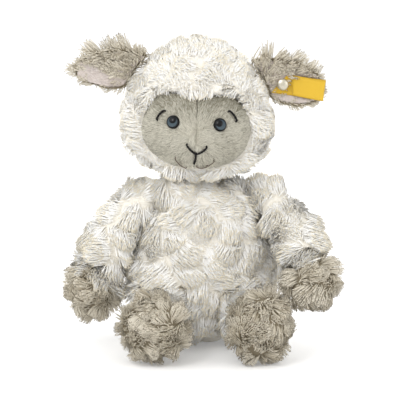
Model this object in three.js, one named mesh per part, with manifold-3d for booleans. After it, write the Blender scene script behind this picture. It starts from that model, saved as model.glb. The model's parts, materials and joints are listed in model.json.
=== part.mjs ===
// A seated plush sheep, in millimetres. +Z is up and the toy looks towards -Y.
// The origin is the middle of the flat that it sits on. Left and right are the toy's own.
import * as THREE from "three";
import { mergeVertices } from "three/addons/utils/BufferGeometryUtils.js";
import Module from "manifold-3d";

const wasm = await Module();
wasm.setup();

const seatGap = 0.3; // between pieces that are sewn or pressed together
const flatDepth = 0.5; // what the table presses flat under the seat and the feet
const cutOverrun = 20; // by which a cutting solid runs past what it cuts

// The pear-shaped torso, with the dome that the head is sewn to.
const torsoHeight = 98;
const torsoHalfWidth = 39;
const torsoHalfDepth = 35;
const neckPivotDrop = 8; // of the neck's pivot below the torso's top
const neckPivotSide = -8;
const neckDomeRadius = 20;
const torsoRadiusShares = [
  [0, 0],
  [0.004, 0.38],
  [0.05, 0.72],
  [0.16, 0.94],
  [0.32, 1],
  [0.5, 0.985],
  [0.66, 0.93],
  [0.8, 0.84],
  [0.9, 0.71],
  [0.97, 0.47],
  [1, 0],
];

// Seam rings: the turned-in edges where a limb or the head is sewn on.
const seamThickness = 1.2;
const neckSeamFrom = THREE.MathUtils.degToRad(22); // from straight up
const neckSeamTo = THREE.MathUtils.degToRad(44);
const limbSeamFrom = THREE.MathUtils.degToRad(121); // from the limb's own direction
const limbSeamTo = THREE.MathUtils.degToRad(148);

// The head, seen from the neck pivot, leaning a little to the toy's left.
const headLean = THREE.MathUtils.degToRad(3.5);
const headBottom = 12;
const headHeight = 84;
const headHalfWidth = 44;
const headHalfDepth = 39;
const headForward = 3;
const headRadiusShares = [
  [0, 0],
  [0.015, 0.32],
  [0.1, 0.73],
  [0.23, 0.94],
  [0.37, 1],
  [0.5, 0.985],
  [0.64, 0.905],
  [0.77, 0.77],
  [0.88, 0.585],
  [0.965, 0.33],
  [1, 0],
];

// The face: two short-pile panels, sewn together down the nose, over a padded muzzle.
const faceHalfWidth = 31;
const faceHalfHeight = 22.5;
const faceBulge = 21;
const faceHeight = 44; // of its middle over the neck pivot
const faceFront = 44; // of the nose in front of the neck pivot
const faceCloth = 2.2;
const faceDip = 5; // where the fur comes down between the two brows
const faceTopShares = [
  [0.2, 0.86],
  [0.5, 1],
  [0.86, 0.82],
  [1, 0.24],
];
const faceSideShares = [
  [1, -0.2],
  [0.78, -0.82],
  [0.4, -1],
];

// Eyes with a shank and a washer behind the cloth.
const eyeRadius = 4;
const eyeDome = 2.8;
const eyeSpread = 13.6;
const eyeHeight = 49; // over the neck pivot
const eyeShankRadius = 1.5;
const eyeShankLength = 7;
const eyeWasherRadius = 5;
const eyeWasherThickness = 1.2;

// Ears: a long-pile back and a short-pile lining, cupped towards the front.
const earLength = 36;
const earHalfWidth = 14;
const earRootHalfWidth = 11;
const earTipHalfWidth = 3;
const earUpShare = 0.71; // of the head's height, to the ear's root
const earBack = 2; // of the root behind the neck pivot
const earRootClearance = 1; // from the hinge line to the head
const earCup = 5;
const earDroop = 3;
const earCloth = 2.4;
const earLiningCloth = 1;
const earLiningMargin = 2.2;
const earWidestShare = 0.4;

// The plain ribbon tag, folded over on itself, and the metal button that holds it.
const buttonAlong = 11.5; // from the ear's root
const buttonBelow = 2; // under the ear's middle line
const buttonRadius = 3.5;
const buttonDome = 1.5;
const buttonRim = 0.6;
const buttonStemRadius = 1;
const buttonWasherRadius = 3;
const buttonWasherThickness = 0.8;
const ribbonLength = 31;
const ribbonWidth = 12;
const ribbonThickness = 0.6;
const ribbonFoldGap = 0.8;
const ribbonRise = 1.5; // over the hollow lining, which its two long edges nearly touch

// Arms, seen from the shoulder: each hangs from it along its own direction.
const shoulderInset = 3; // of the shoulder's pivot from the torso's widest line
const shoulderDrop = 8; // of the shoulder's pivot below the torso's top
const shoulderBallRadius = 12;
const armLength = 66; // from the shoulder to the middle of the paw
const armMiddleRadius = 15.5;
const armWaistRadius = 10.2;
const armEndRadius = 14;
const armBow = 5; // by which a stuffed arm bows out at its middle
const pawRadius = 18.5;
const pawHalfLength = 18;
const rightArmSplay = THREE.MathUtils.degToRad(29);
const rightArmForward = THREE.MathUtils.degToRad(14);
const leftArmSplay = THREE.MathUtils.degToRad(24);
const leftArmForward = THREE.MathUtils.degToRad(41);

// Where, past the seam, a limb is at its waist, swells, is full and ends.
const limbSwellShares = [0.14, 0.4, 0.75, 1];

// Legs, seen from the hip: each lies forward and a little outward.
const hipSide = 23;
const hipForward = 23;
const hipHeight = 23;
const hipBallRadius = 14.5;
const legLength = 40; // from the hip to the middle of the foot
const legMiddleRadius = 16;
const legWaistRadius = 12;
const legEndRadius = 16;
const footRadius = 22.5;
const footHalfLength = 16;
const rightLegSpread = THREE.MathUtils.degToRad(10);
const leftLegSpread = THREE.MathUtils.degToRad(14);

// The short tail at the back.
const tailLength = 27;
const tailHalfWidth = 7;
const tailHalfDepth = 4.5;
const tailRootHeight = 44;
const tailRadiusShares = [
  [0, 0],
  [0.02, 0.4],
  [0.3, 1],
  [0.7, 0.8],
  [0.98, 0.35],
  [1, 0],
];

// Face counts.
const bodySides = 28;
const bodyRings = 18;
const limbSides = 20;
const limbRings = 12;
const smallSides = 16;
const domeRings = 5;
const seamRings = 3;
const earAlongSteps = 14;
const earAcrossSteps = 10;
const liningAlongSteps = 12;
const liningAcrossSteps = 8;
const shareStep = 1e-3; // for the slope of a surface

const whiteFur = new THREE.MeshStandardMaterial({ color: 0xf3efe6, roughness: 1, metalness: 0 });
const taupeFur = new THREE.MeshStandardMaterial({ color: 0xbbb09c, roughness: 1, metalness: 0 });
const faceCord = new THREE.MeshStandardMaterial({ color: 0xb4aea2, roughness: 0.95, metalness: 0 });
const liningCord = new THREE.MeshStandardMaterial({ color: 0xb9aca2, roughness: 0.95, metalness: 0 });
const seamCloth = new THREE.MeshStandardMaterial({ color: 0xd8d2c4, roughness: 1, metalness: 0 });
const eyePlastic = new THREE.MeshStandardMaterial({ color: 0x3a4650, roughness: 0.12, metalness: 0 });
const washerPlastic = new THREE.MeshStandardMaterial({ color: 0xe8e8e4, roughness: 0.5, metalness: 0 });
const yellowRibbon = new THREE.MeshStandardMaterial({ color: 0xf5c51e, roughness: 0.6, metalness: 0 });
const buttonMetal = new THREE.MeshStandardMaterial({ color: 0xb8b4a8, roughness: 0.3, metalness: 1 });

// A closed solid for cutting and joining, from a geometry.
function solidOf(geometry) {
  const bare = geometry.clone();
  bare.deleteAttribute("normal");
  bare.deleteAttribute("uv");
  const merged = mergeVertices(bare);
  return new wasm.Manifold(
    new wasm.Mesh({
      numProp: 3,
      vertProperties: merged.attributes.position.array,
      triVerts: new Uint32Array(merged.index.array),
    }),
  );
}

// The geometry of a solid that has been cut or joined.
function geometryOf(solid) {
  const made = solid.getMesh();
  const geometry = new THREE.BufferGeometry();
  geometry.setAttribute("position", new THREE.BufferAttribute(made.vertProperties, 3));
  geometry.setIndex(new THREE.BufferAttribute(made.triVerts, 1));
  geometry.computeVertexNormals();
  return geometry;
}

// A named mesh of a solid.
function piece(name, solid, material) {
  const mesh = new THREE.Mesh(geometryOf(solid), material);
  mesh.name = name;
  return mesh;
}

// A turned form about +Z through points of radius and height.
function turned(points, sides) {
  return new THREE.LatheGeometry(points, sides).rotateX(Math.PI / 2);
}

// Points of a smooth profile through shares of a height and of a radius.
function profileOf(shares, height, radius, steps) {
  const curve = new THREE.SplineCurve(
    shares.map(([rise, reach]) => new THREE.Vector2(reach * radius, rise * height)),
  );
  const points = curve.getSpacedPoints(steps);
  points.forEach((p) => (p.x = Math.max(p.x, 0)));
  points[0].x = 0;
  points[steps].x = 0;
  return points;
}

// A ball about the origin, or an ellipsoid with three half sizes.
function ball(x, y = x, z = x, sides = limbSides) {
  return solidOf(new THREE.SphereGeometry(1, sides, sides / 2).rotateX(Math.PI / 2).scale(x, y, z));
}

// A ball whose flat facets touch the stated radius from outside, for sockets.
function socketBall(radius) {
  return ball(radius / Math.cos(Math.PI / limbSides) ** 2);
}

// A wide block that covers everything below the table's top.
function tableBlock() {
  const reach = 8 * torsoHalfWidth;
  return solidOf(new THREE.BoxGeometry(reach, reach, cutOverrun).translate(0, 0, -cutOverrun / 2));
}

// The turn that brings +Z to a direction.
function turnTo(direction) {
  return new THREE.Quaternion().setFromUnitVectors(new THREE.Vector3(0, 0, 1), direction);
}

// A solid turned so that its +Z runs along a direction, then moved to a place.
function aimed(solid, direction, place) {
  const matrix = new THREE.Matrix4().compose(place, turnTo(direction), new THREE.Vector3(1, 1, 1));
  return solid.transform(matrix.elements);
}

// A ring of a thin spherical shell about the origin, far round from +Z.
function seamRing(innerRadius, fromAngle, toAngle) {
  const outerRadius = innerRadius + seamThickness;
  const points = [];
  const at = (radius, angle) => new THREE.Vector2(radius * Math.sin(angle), radius * Math.cos(angle));
  for (let i = 0; i <= seamRings; i++) {
    points.push(at(outerRadius, toAngle + ((fromAngle - toAngle) * i) / seamRings));
  }
  for (let i = 0; i <= seamRings; i++) {
    points.push(at(innerRadius, fromAngle + ((toAngle - fromAngle) * i) / seamRings));
  }
  points.push(points[0].clone());
  return solidOf(turned(points, smallSides));
}

// Half width of the torso at a height over the table.
const torsoProfile = profileOf(torsoRadiusShares, torsoHeight + flatDepth, torsoHalfWidth, bodyRings);
function torsoHalfWidthAt(height) {
  const next = torsoProfile.findIndex((p) => p.y - flatDepth >= height);
  if (next < 1) return 0;
  const above = torsoProfile[next];
  const below = torsoProfile[next - 1];
  const share = (height + flatDepth - below.y) / (above.y - below.y);
  return below.x + share * (above.x - below.x);
}

const shoulderHeight = torsoHeight - shoulderDrop;
const shoulderSide = torsoHalfWidth - shoulderInset;
const neckPivot = new THREE.Vector3(neckPivotSide, 0, torsoHeight - neckPivotDrop);
const shoulderSocketRadius = shoulderBallRadius + seamThickness + 2 * seatGap;
const hipSocketRadius = hipBallRadius + seamThickness + 2 * seatGap;
const headSocketRadius = neckDomeRadius + seamThickness + 2 * seatGap;

// The pivot of a shoulder.
function shoulderOf(side) {
  return new THREE.Vector3(side * shoulderSide, 0, shoulderHeight);
}

// The pivot of a hip.
function hipOf(side) {
  return new THREE.Vector3(side * hipSide, -hipForward, hipHeight);
}

// The torso: a pear and the neck dome, flat on the table, with a socket for each limb.
function torsoSolid() {
  const pear = turned(torsoProfile, bodySides).scale(1, torsoHalfDepth / torsoHalfWidth, 1);
  pear.translate(0, 0, -flatDepth);
  const at = (solid, p) => solid.translate([p.x, p.y, p.z]);
  let solid = solidOf(pear).add(at(ball(neckDomeRadius), neckPivot));
  for (const side of [-1, 1]) {
    solid = solid.subtract(at(socketBall(shoulderSocketRadius), shoulderOf(side)));
    solid = solid.subtract(at(socketBall(hipSocketRadius), hipOf(side)));
  }
  return solid.subtract(tableBlock());
}

// What the torso's flank sweeps when it is turned about the shoulder's own cross axis.
function flankSweep(side) {
  const reach = armLength + pawHalfLength + cutOverrun;
  const points = [new THREE.Vector2(0, -shoulderSide - torsoHalfWidth)];
  points.push(new THREE.Vector2(reach, -shoulderSide - torsoHalfWidth));
  for (let i = limbRings; i >= 0; i--) {
    const away = (shoulderHeight * i) / limbRings;
    const out = torsoHalfWidthAt(shoulderHeight - away) + seatGap - shoulderSide;
    points.push(new THREE.Vector2(i === limbRings ? reach : away, out));
  }
  points[points.length - 1].x = 0;
  const sweep = solidOf(turned(points, limbSides)).subtract(ball(shoulderSocketRadius - seatGap));
  const outward = new THREE.Vector3(side, 0, 0);
  return aimed(sweep, outward, shoulderOf(side));
}

// A stuffed limb along +Z: a ball at its pivot, a waist at the seam, then a swell to its end.
function limbSolid(ballRadius, waistRadius, middleRadius, endRadius, length) {
  const waistStart = Math.sqrt(ballRadius ** 2 - waistRadius ** 2);
  const points = [];
  const fullAngle = Math.PI - Math.asin(waistRadius / ballRadius);
  for (let i = 0; i <= domeRings; i++) {
    const angle = Math.PI - (fullAngle * i) / domeRings;
    points.push(new THREE.Vector2(ballRadius * Math.sin(angle), ballRadius * Math.cos(angle)));
  }
  points[0].x = 0;
  const rest = length - waistStart;
  const radii = [waistRadius, (waistRadius + middleRadius) / 2, middleRadius, endRadius];
  const curve = new THREE.SplineCurve([
    points[domeRings],
    ...limbSwellShares.map((share, i) => new THREE.Vector2(radii[i], waistStart + share * rest)),
  ]);
  points.push(...curve.getSpacedPoints(limbRings / 2).slice(1));
  points.push(new THREE.Vector2(0, length));
  return solidOf(turned(points, limbSides));
}

// An arm pushed outward at its middle, and left where it is at its two ends.
function bowedOut(solid, side, direction, shoulder) {
  const outward = new THREE.Vector3(side, 0, 0).projectOnPlane(direction).normalize();
  return solid.warp((point) => {
    const run = new THREE.Vector3(...point).sub(shoulder).dot(direction) / armLength;
    const share = THREE.MathUtils.clamp(run, 0, 1);
    const push = armBow * Math.sin(Math.PI * share) ** 2;
    point[0] += push * outward.x;
    point[1] += push * outward.y;
    point[2] += push * outward.z;
  });
}

// The arm and its paw, from the shoulder.
function armPieces(side, splay, forward) {
  const direction = new THREE.Vector3(
    side * Math.sin(splay),
    -Math.cos(splay) * Math.sin(forward),
    -Math.cos(splay) * Math.cos(forward),
  );
  const shoulder = shoulderOf(side);
  const pawPlace = shoulder.clone().addScaledVector(direction, armLength);
  const paw = aimed(ball(pawRadius, pawRadius, pawHalfLength), direction, pawPlace);
  const pawSeat = aimed(
    ball(pawRadius + seatGap, pawRadius + seatGap, pawHalfLength + seatGap),
    direction,
    pawPlace,
  );
  const limb = limbSolid(shoulderBallRadius, armWaistRadius, armMiddleRadius, armEndRadius, armLength);
  const bowed = bowedOut(aimed(limb, direction, shoulder), side, direction, shoulder);
  const arm = bowed.subtract(pawSeat).subtract(flankSweep(side));
  const ring = seamRing(shoulderBallRadius + seatGap, limbSeamFrom, limbSeamTo);
  return { arm, paw, seam: aimed(ring, direction, shoulder) };
}

// The leg and its foot, from the hip, flat where the foot stands on the table.
function legPieces(side, spread) {
  const hip = hipOf(side);
  const footDrop = hipHeight - (footRadius - flatDepth);
  const level = Math.sqrt(legLength ** 2 - footDrop ** 2);
  const direction = new THREE.Vector3(
    (side * Math.sin(spread) * level) / legLength,
    (-Math.cos(spread) * level) / legLength,
    -footDrop / legLength,
  );
  const footPlace = hip.clone().addScaledVector(direction, legLength);
  const stuffed = aimed(ball(footRadius, footRadius, footHalfLength), direction, footPlace);
  const foot = stuffed.subtract(tableBlock());
  const footSeat = aimed(
    ball(footRadius + seatGap, footRadius + seatGap, footHalfLength + seatGap),
    direction,
    footPlace,
  );
  const limb = limbSolid(hipBallRadius, legWaistRadius, legMiddleRadius, legEndRadius, legLength);
  const leg = aimed(limb, direction, hip).subtract(footSeat);
  const ring = seamRing(hipBallRadius + seatGap, limbSeamFrom, limbSeamTo);
  return { leg, foot, seam: aimed(ring, direction, hip) };
}

// The face's outline from the front, a heart with two round brows, grown by a margin.
function faceOutline(margin) {
  const wide = faceHalfWidth + margin;
  const tall = faceHalfHeight + margin;
  const brow = faceTopShares.map(([x, z]) => new THREE.Vector2(x * wide, z * tall));
  const cheek = faceSideShares.map(([x, z]) => new THREE.Vector2(x * wide, z * tall));
  const dip = new THREE.Vector2(0, tall - faceDip);
  const chin = new THREE.Vector2(0, -tall);
  const half = [dip, ...brow, ...cheek, chin];
  const other = half
    .slice(1, -1)
    .reverse()
    .map((p) => new THREE.Vector2(-p.x, p.y));
  const shape = new THREE.Shape();
  shape.moveTo(dip.x, dip.y);
  shape.splineThru(half.slice(1));
  shape.splineThru([...other, dip]);
  return shape;
}

// That outline as a prism towards the front, from the middle of the head.
function facePrism(margin) {
  const depth = faceFront + cutOverrun;
  const prism = new THREE.ExtrudeGeometry(faceOutline(margin), {
    depth,
    bevelEnabled: false,
    curveSegments: domeRings,
  });
  return solidOf(prism.rotateX(Math.PI / 2).translate(0, 0, faceHeight));
}

// The muzzle's rounded form, taken in by an inset.
function muzzle(inset) {
  const form = ball(
    faceHalfWidth + faceCloth - inset,
    faceBulge - inset,
    faceHalfHeight + faceCloth - inset,
    bodySides,
  );
  return form.translate([0, faceBulge - faceFront, faceHeight]);
}

// A block that holds the front half of the muzzle, grown backwards by a margin.
function faceFrontBlock(margin) {
  const depth = 2 * faceFront;
  const block = new THREE.BoxGeometry(4 * faceHalfWidth, depth, 4 * faceHalfHeight);
  return solidOf(block.translate(0, faceBulge - faceFront + margin - depth / 2, faceHeight));
}

// Where the muzzle's surface lies in front of a point of the face, and which way it looks.
function onMuzzle(x, z) {
  const wide = faceHalfWidth + faceCloth;
  const tall = faceHalfHeight + faceCloth;
  const across = x / wide;
  const up = (z - faceHeight) / tall;
  const depth = Math.sqrt(1 - across ** 2 - up ** 2);
  const place = new THREE.Vector3(x, faceBulge - faceFront - faceBulge * depth, z);
  const normal = new THREE.Vector3(across / wide, -depth / faceBulge, up / tall).normalize();
  return { place, normal };
}

// The eye: a dome on a shank, turned in one piece, with its back flat on the cloth.
function eyeSolid() {
  const points = [new THREE.Vector2(0, -eyeShankLength)];
  points.push(new THREE.Vector2(eyeShankRadius, -eyeShankLength));
  points.push(new THREE.Vector2(eyeShankRadius, seatGap));
  points.push(new THREE.Vector2(eyeRadius, seatGap));
  for (let i = 1; i <= domeRings; i++) {
    const angle = ((Math.PI / 2) * i) / domeRings;
    points.push(new THREE.Vector2(eyeRadius * Math.cos(angle), seatGap + eyeDome * Math.sin(angle)));
  }
  points[points.length - 1].x = 0;
  return solidOf(turned(points, smallSides));
}

// A flat ring about +Z, with its face at the origin and its thickness below it.
function washerSolid(innerRadius, outerRadius, thickness) {
  const points = [
    new THREE.Vector2(innerRadius, -thickness),
    new THREE.Vector2(outerRadius, -thickness),
    new THREE.Vector2(outerRadius, 0),
    new THREE.Vector2(innerRadius, 0),
    new THREE.Vector2(innerRadius, -thickness),
  ];
  return solidOf(turned(points, smallSides));
}

// A round rod along +Z between two heights, for holes.
function rodSolid(radius, low, high) {
  const rod = new THREE.CylinderGeometry(radius, radius, high - low, smallSides);
  return solidOf(rod.rotateX(Math.PI / 2).translate(0, 0, (high + low) / 2));
}

// The head, the two face panels, the eyes and the washers, all seen from the neck pivot.
function headPieces() {
  const egg = turned(headProfile, bodySides).scale(1, headHalfDepth / headHalfWidth, 1);
  egg.translate(0, -headForward, headBottom);
  const padding = muzzle(faceCloth + seatGap);
  const cutter = facePrism(seatGap).intersect(faceFrontBlock(seatGap)).subtract(padding);
  let head = solidOf(egg).add(padding.intersect(facePrism(0))).subtract(cutter);
  head = head.subtract(socketBall(headSocketRadius));
  let face = muzzle(0).subtract(muzzle(faceCloth)).intersect(facePrism(0));
  face = face.intersect(faceFrontBlock(0));
  const made = {};
  for (const [name, side] of [
    ["right", -1],
    ["left", 1],
  ]) {
    const { place, normal } = onMuzzle(side * eyeSpread, eyeHeight);
    const washerTop = -faceCloth - 3 * seatGap;
    const washerBottom = washerTop - eyeWasherThickness;
    const pocketRadius = eyeWasherRadius + seatGap;
    const bore = rodSolid(eyeShankRadius + seatGap, -eyeShankLength - seatGap, cutOverrun);
    const hole = aimed(bore, normal, place);
    const pocket = aimed(rodSolid(pocketRadius, washerBottom - seatGap, 0), normal, place);
    head = head.subtract(hole).subtract(pocket);
    face = face.subtract(hole);
    made[name + "_eye"] = aimed(eyeSolid(), normal, place);
    const washer = washerSolid(eyeShankRadius + seatGap, eyeWasherRadius, eyeWasherThickness);
    made[name + "_eye_washer"] = aimed(washer.translate([0, 0, washerTop]), normal, place);
  }
  const halfBlock = new THREE.BoxGeometry(4 * faceHalfWidth, 4 * faceFront, 8 * faceHalfHeight);
  const leftHalf = solidOf(halfBlock.translate(2 * faceHalfWidth + seatGap / 2, 0, faceHeight));
  made.left_face = face.intersect(leftHalf);
  made.right_face = face.intersect(leftHalf.mirror([1, 0, 0]));
  made.head = head;
  return made;
}

// A closed slab of cloth on a surface that is a function of two shares from 0 to 1.
function clothSolid(surface, thickness, alongSteps, acrossSteps) {
  const positions = [];
  const index = [];
  const row = acrossSteps + 1;
  const sheet = (alongSteps + 1) * row;
  for (const face of [0.5, -0.5]) {
    for (let i = 0; i <= alongSteps; i++) {
      for (let j = 0; j <= acrossSteps; j++) {
        const u = i / alongSteps;
        const v = j / acrossSteps;
        const along = surface(u + shareStep, v).sub(surface(u - shareStep, v));
        const across = surface(u, v + shareStep).sub(surface(u, v - shareStep));
        const normal = along.cross(across).normalize();
        positions.push(...surface(u, v).addScaledVector(normal, face * thickness));
      }
    }
  }
  const quad = (a, b, c, d) => index.push(a, b, c, a, c, d);
  for (let i = 0; i < alongSteps; i++) {
    for (let j = 0; j < acrossSteps; j++) {
      const a = i * row + j;
      quad(a, a + row, a + row + 1, a + 1);
      quad(sheet + a, sheet + a + 1, sheet + a + row + 1, sheet + a + row);
    }
    const low = i * row;
    const high = low + acrossSteps;
    quad(low, sheet + low, sheet + low + row, low + row);
    quad(high, high + row, sheet + high + row, sheet + high);
  }
  for (let j = 0; j < acrossSteps; j++) {
    const end = alongSteps * row + j;
    quad(j, j + 1, sheet + j + 1, sheet + j);
    quad(end, sheet + end, sheet + end + 1, end + 1);
  }
  const geometry = new THREE.BufferGeometry();
  geometry.setAttribute("position", new THREE.Float32BufferAttribute(positions, 3));
  geometry.setIndex(index);
  const solid = solidOf(geometry);
  if (solid.volume() > 0) return solid;
  geometry.setIndex(index.reverse());
  return solidOf(geometry);
}

// The middle of the ear's root over the neck pivot.
const earHeight = headBottom + earUpShare * headHeight;

// Half width of the ear at a share of its length.
function earHalfWidthAt(share, margin) {
  const swell = Math.sin(Math.PI * Math.min(share / earWidestShare, 1) * 0.5);
  const rounding = Math.max((share - earWidestShare) / (1 - earWidestShare), 0);
  const inner = earRootHalfWidth + (earHalfWidth - earRootHalfWidth) * swell;
  const outer = earTipHalfWidth + (earHalfWidth - earTipHalfWidth) * Math.sqrt(1 - rounding ** 2);
  return (share < earWidestShare ? inner : outer) - margin;
}

// Half width of the head at a height over the neck pivot.
const headProfile = profileOf(headRadiusShares, headHeight, headHalfWidth, bodyRings);
function headHalfWidthAt(height) {
  const next = headProfile.findIndex((p) => p.y + headBottom >= height);
  const above = headProfile[next];
  const below = headProfile[next - 1];
  const share = (height - headBottom - below.y) / (above.y - below.y);
  return below.x + share * (above.x - below.x);
}

// The ear's surface at a height in front of its cloth: X is outward, -Y is its hollow side.
// Its root follows the slope of the head.
function earSurface(side, front, margin) {
  const tipSide = headHalfWidthAt(earHeight) + earRootClearance + earLength;
  return (u, v) => {
    const acrossShare = 2 * v - 1;
    const rootHeight = earHeight + acrossShare * earRootHalfWidth;
    const rootSide = headHalfWidthAt(rootHeight) + earRootClearance;
    const share = (margin + u * (earLength - 2 * margin)) / earLength;
    const across = acrossShare * earHalfWidthAt(Math.min(Math.max(share, 0), 1), margin);
    const opened = Math.min(Math.max(share / earWidestShare, 0), 1);
    const cupped = earCup * opened * (1 - Math.cos((across / earHalfWidth) * (Math.PI / 2)));
    return new THREE.Vector3(
      side * (rootSide + share * (tipSide - rootSide)),
      earBack - front - cupped,
      earHeight + across - earDroop * share ** 2,
    );
  };
}

// Moves a solid from a frame with +Z out of the ear and +X towards its tip to a place on the ear.
function onEar(solid, surface, u, v) {
  const along = surface(u + shareStep, v).sub(surface(u - shareStep, v)).normalize();
  const slope = surface(u, v + shareStep).sub(surface(u, v - shareStep));
  const out = along.clone().cross(slope).normalize();
  const across = out.clone().cross(along);
  const frame = new THREE.Matrix4().makeBasis(along, across, out).setPosition(surface(u, v));
  return solid.transform(frame.elements);
}

// The ear and its lining; the toy's left ear also carries the ribbon and its button.
function earPieces(side, withTag) {
  const front = earCloth / 2 + seatGap + earLiningCloth / 2;
  const surface = earSurface(side, 0, 0);
  const inner = earSurface(side, front, earLiningMargin);
  let back = clothSolid(surface, earCloth, earAlongSteps, earAcrossSteps);
  let lining = clothSolid(inner, earLiningCloth, liningAlongSteps, liningAcrossSteps);
  const made = {};
  if (withTag) {
    const u = buttonAlong / earLength;
    const v = 0.5 - buttonBelow / (2 * earHalfWidth);
    const hole = onEar(rodSolid(buttonStemRadius + seatGap, -cutOverrun, cutOverrun), surface, u, v);
    back = back.subtract(hole);
    lining = lining.subtract(hole);
    const liningFront = front + earLiningCloth / 2 + ribbonRise;
    const ribbon = ribbonSolid().translate([0, 0, liningFront]);
    made.ribbon_tag = onEar(ribbon, surface, u, v).subtract(hole);
    const buttonFace = liningFront + 2 * ribbonThickness + ribbonFoldGap + seatGap;
    const washerFace = -earCloth / 2 - seatGap;
    const button = buttonSolid(buttonFace, washerFace - buttonWasherThickness);
    made.ear_button = onEar(button, surface, u, v);
    const washer = washerSolid(buttonStemRadius + seatGap, buttonWasherRadius, buttonWasherThickness);
    made.ear_button_washer = onEar(washer.translate([0, 0, washerFace]), surface, u, v);
  }
  const name = side > 0 ? "left_ear" : "right_ear";
  made[name] = back;
  made[name + "_lining"] = lining;
  return made;
}

// The domed cap of the button on its stem, looking along +Z.
function buttonSolid(face, stemEnd) {
  const points = [new THREE.Vector2(0, stemEnd)];
  points.push(new THREE.Vector2(buttonStemRadius, stemEnd));
  points.push(new THREE.Vector2(buttonStemRadius, face));
  points.push(new THREE.Vector2(buttonRadius, face));
  for (let i = 0; i <= domeRings; i++) {
    const angle = ((Math.PI / 2) * i) / domeRings;
    const height = face + buttonRim + buttonDome * Math.sin(angle);
    points.push(new THREE.Vector2(buttonRadius * Math.cos(angle), height));
  }
  points[points.length - 1].x = 0;
  return solidOf(turned(points, smallSides));
}

// The ribbon folded over once: two layers on +Z that meet in a round fold at the outer end.
function ribbonSolid() {
  const half = ribbonFoldGap / 2;
  const outer = half + ribbonThickness;
  const start = -ribbonWidth / 2;
  const end = start + ribbonLength - outer;
  const shape = new THREE.Shape();
  shape.moveTo(start, -outer);
  shape.lineTo(end, -outer);
  shape.absarc(end, 0, outer, -Math.PI / 2, Math.PI / 2, false);
  shape.lineTo(start, outer);
  shape.lineTo(start, half);
  shape.lineTo(end, half);
  shape.absarc(end, 0, half, Math.PI / 2, -Math.PI / 2, true);
  shape.lineTo(start, -half);
  shape.closePath();
  const strip = new THREE.ExtrudeGeometry(shape, {
    depth: ribbonWidth,
    bevelEnabled: false,
    curveSegments: domeRings,
  });
  return solidOf(strip.rotateX(Math.PI / 2).translate(0, ribbonWidth / 2, outer));
}

// The tail hangs from its seam at the back of the torso, a small padded drop.
function tailSolid() {
  const profile = profileOf(tailRadiusShares, tailLength, tailHalfWidth, limbRings);
  const drop = turned(profile, smallSides);
  drop.scale(1, tailHalfDepth / tailHalfWidth, 1);
  const back = tailPivot().y;
  const solid = solidOf(drop.translate(0, back, tailRootHeight - tailLength));
  return solid.subtract(torsoBack(seatGap));
}

// The tail's hinge line, just behind the torso's back.
function tailPivot() {
  const back = (torsoHalfWidthAt(tailRootHeight) * torsoHalfDepth) / torsoHalfWidth;
  return new THREE.Vector3(0, back + tailHalfDepth, tailRootHeight);
}

// The torso's plain pear grown by a margin.
function torsoBack(margin) {
  const grown = (torsoHalfWidth + margin) / torsoHalfWidth;
  const pear = turned(torsoProfile, bodySides).scale(grown, (torsoHalfDepth + margin) / torsoHalfWidth, 1);
  return solidOf(pear.translate(0, 0, -flatDepth));
}

const sheep = new THREE.Group();

sheep.add(piece("torso", torsoSolid(), whiteFur));
sheep.add(piece("tail", tailSolid(), whiteFur));

const neckRing = seamRing(neckDomeRadius + seatGap, neckSeamFrom, neckSeamTo);
const neckSeam = piece("neck_seam", neckRing, seamCloth);
neckSeam.position.copy(neckPivot);
sheep.add(neckSeam);

for (const [name, side, splay, forward, spread] of [
  ["right", -1, rightArmSplay, rightArmForward, rightLegSpread],
  ["left", 1, leftArmSplay, leftArmForward, leftLegSpread],
]) {
  const { arm, paw, seam } = armPieces(side, splay, forward);
  sheep.add(piece(name + "_arm", arm, whiteFur));
  sheep.add(piece(name + "_paw", paw, taupeFur));
  sheep.add(piece(name + "_shoulder_seam", seam, seamCloth));
  const { leg, foot, seam: hipSeam } = legPieces(side, spread);
  sheep.add(piece(name + "_leg", leg, whiteFur));
  sheep.add(piece(name + "_foot", foot, taupeFur));
  sheep.add(piece(name + "_hip_seam", hipSeam, seamCloth));
}

const headGroup = new THREE.Group();
headGroup.position.copy(neckPivot);
headGroup.rotation.y = headLean;
const headMaterials = {
  head: whiteFur,
  left_face: faceCord,
  right_face: faceCord,
  left_eye: eyePlastic,
  right_eye: eyePlastic,
  left_eye_washer: washerPlastic,
  right_eye_washer: washerPlastic,
  left_ear: taupeFur,
  right_ear: taupeFur,
  left_ear_lining: liningCord,
  right_ear_lining: liningCord,
  ribbon_tag: yellowRibbon,
  ear_button: buttonMetal,
  ear_button_washer: buttonMetal,
};
const headParts = { ...headPieces(), ...earPieces(-1, false), ...earPieces(1, true) };
for (const [name, solid] of Object.entries(headParts)) {
  headGroup.add(piece(name, solid, headMaterials[name]));
}
sheep.add(headGroup);

export default sheep;
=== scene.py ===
# A seated plush sheep, put together in the order a toymaker would: the stuffed torso first, then
# the tail, the head with its face and ears, the arms and the legs, each with the pile it is cut from.
import json
import math

import bmesh
import bpy
import numpy as np
from mathutils import Matrix, Vector, bvhtree, kdtree


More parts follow.
